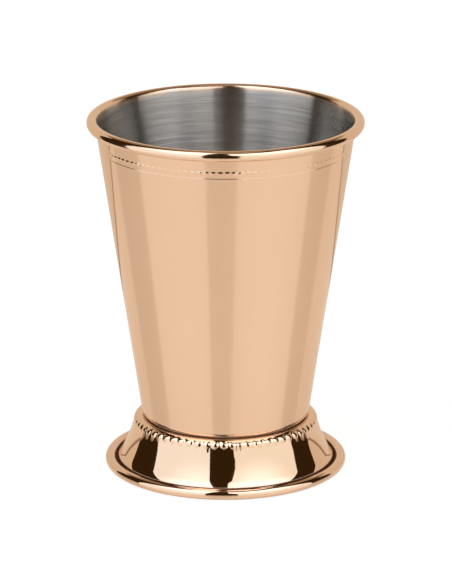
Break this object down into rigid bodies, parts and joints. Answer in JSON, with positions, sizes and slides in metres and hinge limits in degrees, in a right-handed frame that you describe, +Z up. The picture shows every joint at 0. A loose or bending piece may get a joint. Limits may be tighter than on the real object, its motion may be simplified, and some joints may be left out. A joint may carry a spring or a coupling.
{
  "type": "footed julep cup",
  "caption": "Copper-plated steel julep cup: tapered body with rolled rim and beaded band on a flared, beaded foot.",
  "frame": {"origin": "on the cup's axis, on the surface that it stands on", "axes": "+Z up along the cup's axis, towards the rim; X and Y are free, because the cup is round"},
  "size_m": [0.0848, 0.0848, 0.111],
  "materials": {
    "body_plate": "polished copper plate outside and over the rim, bare steel brushed round the axis inside",
    "foot_plate": "mirror-polished copper plate",
    "braze": "as-flowed filler metal, plated over where it shows"
  },
  "bodies": {
    "root": {"cup_body": "body_plate", "foot": "foot_plate", "braze_ring": "braze"}
  },
  "joints": []
}
